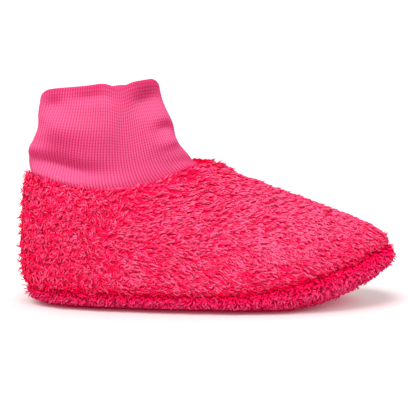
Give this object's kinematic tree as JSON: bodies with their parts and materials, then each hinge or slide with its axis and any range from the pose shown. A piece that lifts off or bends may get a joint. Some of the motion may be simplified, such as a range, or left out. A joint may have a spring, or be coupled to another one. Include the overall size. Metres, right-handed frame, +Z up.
{
  "type": "baby bootie",
  "caption": "Soft plush baby bootie with a tall double-layer rib-knit cuff, a plush sole that turns up at the toe and a padded insole.",
  "frame": {"origin": "On the floor under the middle of the bootie, at the centre of its length and width.", "axes": "+X from the heel to the toe, +Y to the wearer's left side, +Z up out of the cuff."},
  "size_m": [0.1299, 0.0538, 0.0782],
  "materials": {
    "upper_plush": "soft tufted pile",
    "sole_plush": "soft tufted pile",
    "wadding": "matte fibre wadding",
    "lining_jersey": "smooth knit",
    "rib_knit": "matte rib knit",
    "sewing_thread": "spun thread"
  },
  "bodies": {
    "root": {"upper_left": "upper_plush", "upper_right": "upper_plush", "outsole": "sole_plush", "sole_wadding": "wadding", "insole": "lining_jersey", "lining_left": "lining_jersey", "lining_right": "lining_jersey", "rib_cuff": "rib_knit", "vamp_seam_stitches": "sewing_thread", "heel_seam_stitches": "sewing_thread", "sole_seam_stitches": "sewing_thread", "collar_seam_stitches": "sewing_thread", "cuff_closing_stitches": "sewing_thread", "lining_seam_stitches": "sewing_thread"}
  },
  "joints": []
}
